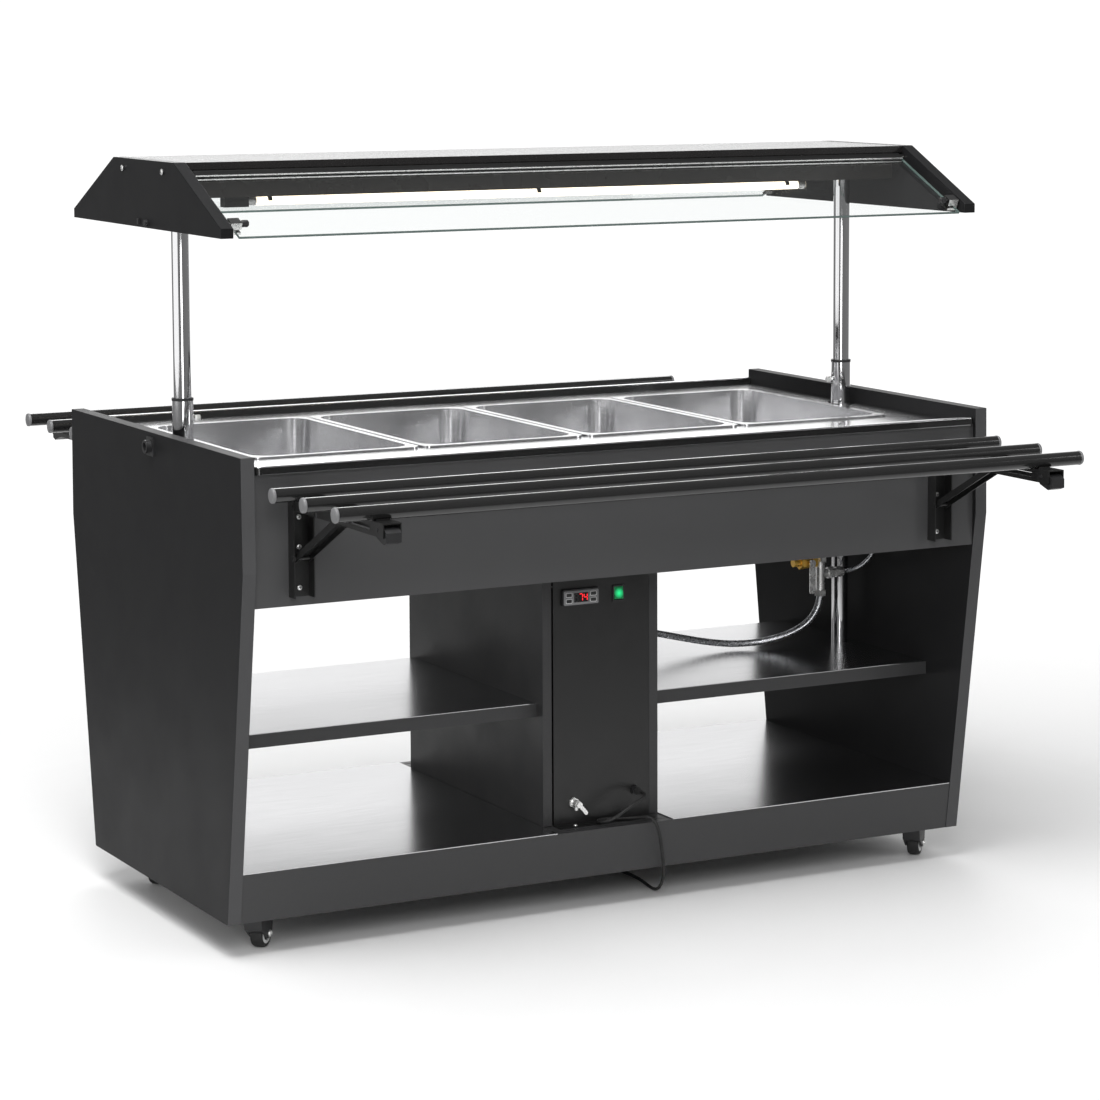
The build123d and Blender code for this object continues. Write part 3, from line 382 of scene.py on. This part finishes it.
def smooth_by_angle(piece, degrees=35.0):
    """Smooth shading with sharp edges kept where the faces meet at more than an angle."""
    mesh = piece.data
    work = bmesh.new()
    work.from_mesh(mesh)
    limit = math.radians(degrees)
    for edge in work.edges:
        edge.smooth = len(edge.link_faces) == 2 and edge.calc_face_angle(0.0) < limit
    for face in work.faces:
        face.smooth = True
    work.to_mesh(mesh)
    work.free()


def paint_faces(name, finish, chosen):
    """Gives a CAD node's chosen faces a second finish; chosen takes a face's middle and normal."""
    piece = nodes[name]
    piece.data.materials.append(FINISH[finish])
    turn = piece.matrix_world.to_3x3()
    for face in piece.data.polygons:
        if chosen(piece.matrix_world @ face.center, (turn @ face.normal).normalized()):
            face.material_index = 1


def dress_cad():
    """Finishes for the CAD nodes, with a second one on some of their faces."""
    for finish, names in CAD_FINISH.items():
        for name in names:
            mesh = nodes[name].data
            mesh.materials.clear()
            mesh.materials.append(FINISH[finish])
    paint_faces("post_sleeves", "plastic", lambda spot, normal: spot.z > COLLAR_FROM)
    paint_faces("water_valves", "nickel", lambda spot, normal: spot.x < 0)
    # The steel rim's upright faces are painted gloss black: a painted dark band of shade and reflection.
    paint_faces("counter_deck", "gloss_black", lambda spot, normal: spot.z > RIM_FROM and abs(normal.z) < 0.3)
    for end, side in FRONT_AND_REAR:
        square = Vector((0, side * math.sin(VISOR_SLOPE), math.cos(VISOR_SLOPE)))
        down = Vector((0, side * math.cos(VISOR_SLOPE), -math.sin(VISOR_SLOPE)))
        paint_faces(f"{end}_visor_glass", "glass_edge", lambda spot, normal: abs(normal.dot(square)) < 0.5)
        # The black fittings' faces that point down the glass are painted bright nickel: a painted highlight
        # line.
        paint_faces(f"{end}_visor_fittings", "nickel", lambda spot, normal: normal.dot(down) > 0.95)


# ---------------------------------------------------------------- mesh helpers

def piece_from(name, work, finishes, body, replaces=()):
    """Turns a bmesh into an object that rides on a body."""
    mesh = bpy.data.meshes.new(name)
    bmesh.ops.recalc_face_normals(work, faces=work.faces)
    work.to_mesh(mesh)
    work.free()
    for finish in finishes:
        mesh.materials.append(FINISH[finish])
    piece = bpy.data.objects.new(name, mesh)
    bpy.context.collection.objects.link(piece)
    smooth_by_angle(piece)
    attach(piece, body)
    if replaces:
        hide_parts(*replaces)
    return piece


def frame_of(origin, axis, up=(0, 0, 1)):
    """A matrix whose Z runs along axis at origin."""
    z = Vector(axis).normalized()
    side = Vector(up).cross(z)
    if side.length < 1e-4:
        side = Vector((1, 0, 0)).cross(z)
    x = side.normalized()
    y = z.cross(x)
    return Matrix.Translation(origin) @ Matrix((x, y, z)).transposed().to_4x4()


def lathe(work, profile, place, steps=32, finish=0):
    """Revolves (radius, height) points round the place's Z axis; closed ends where the radius is 0."""
    rings = []
    for radius, height in profile:
        if radius < 1e-7:
            rings.append([work.verts.new(place @ Vector((0, 0, height)))])
            continue
        ring = []
        for step in range(steps):
            turn = 2 * math.pi * step / steps
            point = Vector((radius * math.cos(turn), radius * math.sin(turn), height))
            ring.append(work.verts.new(place @ point))
        rings.append(ring)
    for low, high in zip(rings, rings[1:]):
        for step in range(steps):
            after = (step + 1) % steps
            around = [low[step % len(low)], low[after % len(low)]]
            around += [high[after % len(high)], high[step % len(high)]]
            unique = list(dict.fromkeys(around))
            if len(unique) > 2:
                work.faces.new(unique).material_index = finish


def block(work, low, high, bevel=0.0, finish=0, place=None):
    """A box between two corners with its edges rounded."""
    before = set(work.faces)
    made = bmesh.ops.create_cube(work, size=1.0)["verts"]
    centre = (Vector(low) + Vector(high)) / 2
    size = Vector(high) - Vector(low)
    for vert in made:
        vert.co = Vector(a * b for a, b in zip(vert.co, size)) + centre
    if bevel:
        edges = list(dict.fromkeys(edge for vert in made for edge in vert.link_edges))
        bmesh.ops.bevel(work, geom=edges, offset=bevel, segments=3, affect="EDGES", profile=0.5)
    fresh = [face for face in work.faces if face not in before]
    for face in fresh:
        face.material_index = finish
    if place is not None:
        moved = {vert for face in fresh for vert in face.verts}
        for vert in moved:
            vert.co = place @ vert.co


def outline_plate(work, points, thick, place, finish=0, bevel=0.0):
    """Extrudes a closed outline in the place's XY plane along its Z."""
    low = [work.verts.new(place @ Vector((x, y, 0))) for x, y in points]
    high = [work.verts.new(place @ Vector((x, y, thick))) for x, y in points]
    faces = [work.faces.new(list(reversed(low))), work.faces.new(high)]
    count = len(points)
    for step in range(count):
        after = (step + 1) % count
        faces.append(work.faces.new([low[step], low[after], high[after], high[step]]))
    for face in faces:
        face.material_index = finish
    if bevel:
        edges = list(dict.fromkeys(edge for face in faces[:2] for edge in face.edges))
        bmesh.ops.bevel(work, geom=edges, offset=bevel, segments=2, affect="EDGES", profile=0.5)


def rounded_rectangle(width, height, radius, steps=5):
    """Corner points of a rounded rectangle about the origin."""
    points = []
    for corner, (sx, sy) in enumerate(((1, 1), (-1, 1), (-1, -1), (1, -1))):
        cx, cy = sx * (width / 2 - radius), sy * (height / 2 - radius)
        for step in range(steps + 1):
            turn = math.pi / 2 * (corner + step / steps)
            points.append((cx + radius * math.cos(turn), cy + radius * math.sin(turn)))
    return points


def nurbs(name, points, radius, finish, resolution=10):
    """A round cord or hose along control points, as one open NURBS spline."""
    data = bpy.data.curves.new(name, "CURVE")
    data.dimensions = "3D"
    data.bevel_depth = radius
    data.bevel_resolution = 4
    data.use_fill_caps = True
    spline = data.splines.new("NURBS")
    spline.points.add(len(points) - 1)
    for spot, point in zip(spline.points, points):
        spot.co = (*point, 1.0)
    spline.order_u = 3
    spline.use_endpoint_u = True
    spline.resolution_u = resolution
    data.materials.append(FINISH[finish])
    piece = bpy.data.objects.new(name, data)
    bpy.context.collection.objects.link(piece)
    return piece


def centreline(name, points, resolution=12):
    """Points along the smooth line of a NURBS spline, for pieces that follow it."""
    bare = nurbs(name, points, 0.0, "rubber", resolution)
    mesh = bpy.data.meshes.new_from_object(bare)
    line = [vert.co.copy() for vert in mesh.vertices]
    bpy.data.objects.remove(bare)
    bpy.data.meshes.remove(mesh)
    return line


# ---------------------------------------------------------------- mains cord

CORD_R = 3.0 * MM
COIL = (150.0, 60.0)
CORD_ROUTE = [
    (70, -309, 201), (70, -322, 201), (64, -335, 200), (51, -343, 196.5), (34, -345.5, 190),
    (20, -343.5, 181), (6, -341, 171.5), (-9, -337.5, 163.5), (-20.5, -327, 159), (-22, -310.5, 156.8),
    (-12, -297.5, 156), (5, -294.5, 155.7), (21, -302, 155.8), (36, -312, 156.3), (50, -323, 158),
    (61, -336.5, 162), (69, -350, 162), (75, -359.5, 151.5), (80, -361, 133.5), (86, -356.5, 113),
    (92, -350, 92), (98.5, -343.6, 71), (104.5, -333.5, 50), (109, -320, 31.5), (112.5, -303, 16),
    (116, -283, 6.5), (120, -259, 3.2), (126, -228, 3), (133, -192, 3), (135, -140, 3),
    (130, -91, 3), (121.5, -44, 3), (116.5, 1, 3), (116, 45, 3),
]
COIL_TURNS = [(36, 3.3), (30, 3.3), (30, 9.3), (36, 9.3), (30, 15.3), (36, 15.3)]
TURN_POINTS = 18
COIL_SPREAD = 1.014
STEPS_PER_LAY = 14                      # points of a hose's wire on one turn round the hose


def coil_route():
    """Six neat turns in three layers, clockwise from the cord's arrival on the left.

    The control points lie a little outside the turns, because the spline cuts their corners."""
    points = []
    for number, (radius, height) in enumerate(COIL_TURNS):
        last = number == len(COIL_TURNS) - 1
        after_radius, after_height = COIL_TURNS[min(number + 1, len(COIL_TURNS) - 1)]
        for step in range(TURN_POINTS):
            turn = step / TURN_POINTS
            change = 0.0 if last else max(0.0, (turn - 0.75) / 0.25)
            wide = radius + (after_radius - radius) * change
            high = height + (after_height - height) * change
            angle = math.pi - 2 * math.pi * turn
            out = wide * COIL_SPREAD
            points.append((COIL[0] + out * math.cos(angle), COIL[1] + out * math.sin(angle), high))
    return points


def mains_cord():
    """The cord from its gland over the plinth to the coil."""
    tail = [(114, 60, 15.6), (114, 70, 16), (114, 78, 16)]
    route = [tuple(c * MM for c in point) for point in CORD_ROUTE + coil_route()[1:] + tail]
    cord = nurbs("mains_cord", route, CORD_R, "rubber", resolution=8)
    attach(cord, "cabinet")
    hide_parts("power_cord", "cord_coil")
    line = centreline("cord_line", route, 8)


# ---------------------------------------------------------------- hoses

SUPPLY_ROUTE = [
    (611, -60, 485), (608, -57, 460), (594, -44, 430), (562, -20, 405), (517, 8, 389.5), (465, 28, 386.5),
    (410, 40, 394), (350, 46, 408), (290, 47, 423), (228, 44, 435), (170, 41, 441), (111, 40, 442),
]
FILL_ROUTE = [
    (661, -60, 529), (682, -61, 530), (702, -69, 539), (714, -83, 558), (718, -96, 584), (718, -103, 615),
    (717, -105, 649), (716, -106, 690),
]


def braided_hose(name, route, radius, strands, lay_length, wire):
    """Fine wires wound both ways round a hose that follows a route."""
    line = centreline(name + "_line", [tuple(c * MM for c in point) for point in route], 14)
    along = [0.0]
    for a, b in zip(line, line[1:]):
        along.append(along[-1] + (b - a).length)
    count = max(40, int(along[-1] / (lay_length / STEPS_PER_LAY)))
    spots, place = [], 0
    for step in range(count + 1):
        reach = along[-1] * step / count
        while place < len(along) - 2 and along[place + 1] < reach:
            place += 1
        share = (reach - along[place]) / max(1e-9, along[place + 1] - along[place])
        spots.append((reach, line[place].lerp(line[place + 1], share)))
    side = Vector((0, 1, 0))
    frames = []
    for number, (reach, spot) in enumerate(spots):
        ahead = spots[min(number + 1, count)][1] - spots[max(number - 1, 0)][1]
        ahead.normalize()
        side = (side - ahead * side.dot(ahead)).normalized()
        frames.append((reach, spot, side.copy(), ahead.cross(side)))
    data = bpy.data.curves.new(name, "CURVE")
    data.dimensions = "3D"
    data.bevel_depth = wire
    data.bevel_resolution = 1
    for strand in range(strands):
        for way in (-1, 1):
            spline = data.splines.new("POLY")
            spline.points.add(count)
            for spot, (reach, centre, x, y) in zip(spline.points, frames):
                turn = way * 2 * math.pi * reach / lay_length + 2 * math.pi * strand / strands
                lift = radius + wire * 0.45 * way * math.cos(strands * turn)
                spot.co = (*(centre + lift * (math.cos(turn) * x + math.sin(turn) * y)), 1.0)
    data.materials.append(FINISH["braid"])
    piece = bpy.data.objects.new(name, data)
    bpy.context.collection.objects.link(piece)
    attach(piece, "cabinet")


# ---------------------------------------------------------------- fittings

SEGMENTS = {"4": "bcfg", "7": "abc", "8": "abcdefg"}


def digit(work, place, height, shape, finish):
    """One seven-segment figure drawn with bevelled bars."""
    width, bar_half = height * 0.5, height * 0.05
    half = height / 2
    ends = {
        "a": ((0, height), (width, height)), "b": ((width, height), (width, half)),
        "c": ((width, half), (width, 0)), "d": ((0, 0), (width, 0)),
        "e": ((0, half), (0, 0)), "f": ((0, height), (0, half)), "g": ((0, half), (width, half)),
    }
    for letter in SEGMENTS[shape]:
        (x0, y0), (x1, y1) = ends[letter]
        ahead = Vector((x1 - x0, y1 - y0, 0))
        reach = ahead.length
        ahead.normalize()
        across = Vector((-ahead.y, ahead.x, 0))
        outline = []
        for along_bar, out in ((0.08, 0), (0.18, 1), (0.82, 1), (0.92, 0), (0.82, -1), (0.18, -1)):
            spot = Vector((x0, y0, 0)) + ahead * reach * along_bar + across * bar_half * out
            outline.append((spot.x, spot.y))
        outline_plate(work, outline, 0.4 * MM, place, finish)


def controller_face():
    """Window, glowing figures and outlined keys on the temperature controller."""
    face_y = -293 * MM
    x, z = -44.5 * MM, 571 * MM
    work = bmesh.new()
    front = Matrix.Translation((x, face_y, z)) @ Matrix.Rotation(math.pi / 2, 4, "X")
    outline_plate(work, rounded_rectangle(71 * MM, 26 * MM, 2 * MM), 0.5 * MM, front, 0, 0.2 * MM)
    screen = front @ Matrix.Translation((0, 0, 0.5 * MM))
    outline_plate(work, rounded_rectangle(29 * MM, 17 * MM, 1 * MM), 0.3 * MM, screen, 1)
    for side in (-1, 1):
        for row in (-1, 1):
            key = screen @ Matrix.Translation((side * 25 * MM, row * 5.6 * MM, 0))
            outline_plate(work, rounded_rectangle(13 * MM, 8.4 * MM, 1.6 * MM), 0.35 * MM, key, 2, 0.1 * MM)
            inner = key @ Matrix.Translation((0, 0, 0.35 * MM))
            outline_plate(work, rounded_rectangle(11.0 * MM, 6.4 * MM, 1.2 * MM), 0.15 * MM, inner, 4)
    for place, shape, finish in ((-13.2, "8", 4), (-4, "7", 3), (5.6, "4", 3)):
        spot = screen @ Matrix.Translation((place * MM, -6.4 * MM, 0.3 * MM))
        digit(work, spot, 12.8 * MM, shape, finish)
    finishes = ["grey_plastic", "window", "pale", "red", "plastic"]
    piece_from("controller_front", work, finishes, "cabinet")


def turned(work, profile, place, steps, finish=0):
    """A lathed solid whose profile is given in millimetres."""
    lathe(work, [(radius * MM, height * MM) for radius, height in profile], place, steps, finish)


def rail_caps():
    """Domed end caps on every tray rail."""
    rails_out = (490 * MM, 619 * MM, 747 * MM)
    rail_tip, rail_height = 730 * MM, 828 * MM
    dome = [(12.4, -4), (12.9, -3.4), (12.9, -0.4), (12.3, 0.9), (9, 1.9), (5.2, 2.3), (5, 2.3), (0, 2.3)]
    for end, side in FRONT_AND_REAR:
        work = bmesh.new()
        for out in rails_out:
            for tip in (-1, 1):
                place = frame_of((tip * rail_tip, side * out, rail_height), (tip, 0, 0))
                turned(work, dome, place, 40)
        piece_from(f"{end}_rail_caps", work, ["grey_plastic"], f"{end}_tray")


def castor_details():
    """Moulded wheels with a grey hub ring, and the axle bolts through the forks."""
    swivel = math.radians(45)
    axle = Vector((-math.sin(swivel), math.cos(swivel), 0))
    fork_half = 17 * MM
    tyre = [(18.2, -11), (21, -11.6), (23.2, -10.6), (24.6, -7.5), (25, -3), (25, 3), (24.6, 7.5),
            (23.2, 10.6), (21, 11.6), (18.2, 11)]
    ring = [(18.2, -11), (17.4, -11.5), (13.2, -11.7), (12.4, -11.2), (12.2, -9), (12.2, 9), (12.4, 11.2),
            (13.2, 11.7), (17.4, 11.5), (18.2, 11)]
    core = [(12.2, -9), (10, -8.4), (6.5, -8.6), (5.8, -11.9), (3.1, -12), (3.1, 12), (5.8, 11.9),
            (6.5, 8.6), (10, 8.4), (12.2, 9)]
    cap = [(6.4, 0), (6.4, 0.8), (5.6, 2.4), (4.2, 3.0), (3.6, 2.4), (0, 2.4)]
    for name in ("front_left", "front_right", "rear_left", "rear_right"):
        low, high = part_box(f"castor_wheel_{name}")
        hub = (low + high) / 2
        place = frame_of(hub, axle)
        work = bmesh.new()
        for number, profile in enumerate((tyre, ring, core)):
            turned(work, profile, place, 56, number)
        piece_from(f"castor_tyre_{name}", work, ["rubber", "pale", "plastic"], f"castor_wheel_{name}",
                   [f"castor_wheel_{name}"])
        work = bmesh.new()
        for side in (-1, 1):
            head = frame_of(hub + side * axle * fork_half, side * axle)
            turned(work, cap, head, 24)
        piece_from(f"castor_bolt_{name}", work, ["nickel"], f"castor_fork_{name}")


def lobed_knob(work, place, radius, length, lobes, depth, finish=0):
    """A hand knob: a scalloped grip with a rounded face, along the place's Z."""
    steps = lobes * 8
    layers = [(0.0, 0.86), (0.08, 0.97), (0.2, 1.0), (0.8, 1.0), (0.93, 0.95), (1.0, 0.8)]
    rings = []
    for height, size in layers:
        ring = []
        for step in range(steps):
            turn = 2 * math.pi * step / steps
            wave = radius * size - depth * (0.5 + 0.5 * math.cos(lobes * turn)) ** 2
            spot = Vector((wave * math.cos(turn), wave * math.sin(turn), height * length))
            ring.append(work.verts.new(place @ spot))
        rings.append(ring)
    for low, high in zip(rings, rings[1:]):
        for step in range(steps):
            after = (step + 1) % steps
            work.faces.new([low[step], low[after], high[after], high[step]]).material_index = finish
    for ring in (rings[0], rings[-1]):
        work.faces.new(ring).material_index = finish


def hand_knobs():
    """Scalloped grips on bright stems, for the visors' clamps and the posts' sleeves."""
    clamp_at = 714 * MM
    screw_at, screw_height = 671 * MM, 905 * MM
    clamp_stem = [(0, -24.4), (2.0, -24.4), (2.5, -23.8), (2.5, 0.5), (0, 0.5)]
    screw_stem = [(0, -6.6), (2.4, -6.6), (3.0, -6.0), (3.0, 0.3), (0, 0.3)]
    for end in ("front", "rear"):
        for side, tip in LEFT_AND_RIGHT:
            name = f"visor_knob_{end}_{side}"
            low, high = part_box(name)
            middle = (low + high) / 2
            work = bmesh.new()
            grip = frame_of((tip * clamp_at, middle.y, middle.z), (-tip, 0, 0))
            lobed_knob(work, grip, radius=6.2 * MM, length=13 * MM, lobes=6, depth=0.9 * MM)
            turned(work, clamp_stem, grip, 20, 1)
            piece_from(f"clamp_knob_{end}_{side}", work, ["plastic", "nickel"], name, [name])
    for side, tip in LEFT_AND_RIGHT:
        name = f"thumbscrew_{side}"
        work = bmesh.new()
        grip = frame_of((tip * screw_at, 0, screw_height), (-tip, 0, 0))
        lobed_knob(work, grip, radius=5.6 * MM, length=10 * MM, lobes=18, depth=0.45 * MM)
        turned(work, screw_stem, grip, 20, 1)
        piece_from(f"post_screw_{side}", work, ["nickel", "chrome"], name, [name])


def cross_head(work, place, radius, height, finish=0, dark=1):
    """A domed screw head with a cross recess shown as two dark grooves: black bars of painted shade."""
    dome = [(radius, 0), (radius, 0.25 * height), (0.86 * radius, 0.7 * height), (0.5 * radius, height),
            (0, 1.05 * height)]
    lathe(work, dome, place, 28, finish)
    arm, half = 0.5 * radius, 0.1 * radius
    for size in ((arm, half), (half, arm)):
        block(work, (-size[0], -size[1], 0.95 * height), (size[0], size[1], 1.09 * height), 0.0, dark, place)


def screws():
    """Cross-recessed heads over the cabinet's and the canopy's fixing points."""
    channel_at, channel_face = 648 * MM, 412 * MM
    plinth_top, plinth_out = 152.5 * MM, 301 * MM
    canopy_end, canopy_height = 764.2 * MM, 1351 * MM
    work = bmesh.new()
    for side in (-1, 1):
        for x in (-channel_at, channel_at):
            for z in (656 * MM, 726 * MM, 777 * MM):
                place = frame_of((x, side * channel_face, z), (0, side, 0))
                cross_head(work, place, 4.5 * MM, 2.5 * MM)
        for x in (-62 * MM, 77 * MM):
            place = frame_of((x, side * plinth_out, plinth_top), (0, 0, 1), (0, 1, 0))
            cross_head(work, place, 3.5 * MM, 1.9 * MM)
    # The black plastic on the recess bars is painted shade.
    piece_from("cabinet_screw_heads", work, ["nickel", "plastic"], "cabinet", ["cabinet_screws"])
    work = bmesh.new()
    for side in (-1, 1):
        for y in (-98 * MM, 98 * MM):
            place = frame_of((side * canopy_end, y, canopy_height), (side, 0, 0))
            cross_head(work, place, 5.4 * MM, 1.6 * MM)
    # The black plastic on the recess bars is painted shade.
    piece_from("canopy_screw_heads", work, ["nickel", "plastic"], "canopy")


def lamp_ends():
    """Bright caps on the lamp tube's two ends."""
    tube_end, tube_y, tube_height = 566 * MM, -40 * MM, 1293 * MM
    cap = [(8.05, 0), (8.35, 0.6), (8.35, 15.4), (7.2, 16.1), (0, 16.1)]
    work = bmesh.new()
    for tip in (-1, 1):
        place = frame_of((tip * tube_end, tube_y, tube_height), (tip, 0, 0))
        turned(work, cap, place, 32)
    piece_from("lamp_end_caps", work, ["nickel"], "canopy")


def strain_relief():
    """Ribbed tapering sleeve where the cord leaves its gland."""
    exit_x, _, exit_z = CORD_ROUTE[0]
    gland_face = -294
    ribs, rib_pitch, groove = 5, 2.7, 0.75
    work = bmesh.new()
    place = frame_of((exit_x * MM, gland_face * MM, exit_z * MM), (0, -1, 0))
    profile = [(6.55, 0)]
    for rib in range(ribs):
        start = 1.2 + rib * rib_pitch
        wide = 6.7 - 0.42 * rib
        neck = wide - groove
        profile += [(wide, start), (wide, start + 1.5), (neck, start + 1.8), (neck, start + 2.6)]
    profile += [(4.3, 15), (3.1, 15.2)]
    turned(work, profile, place, 28)
    piece_from("strain_relief", work, ["rubber"], "cabinet")


# ---------------------------------------------------------------- the scene

make_finishes()
look_camera()
studio()
mains_cord()
dress_cad()
braided_hose("supply_braid", SUPPLY_ROUTE, 6.2 * MM, 14, 46 * MM, 0.42 * MM)
braided_hose("fill_braid", FILL_ROUTE, 3.75 * MM, 10, 28 * MM, 0.34 * MM)
controller_face()
rail_caps()
castor_details()
hand_knobs()
screws()
lamp_ends()
strain_relief()
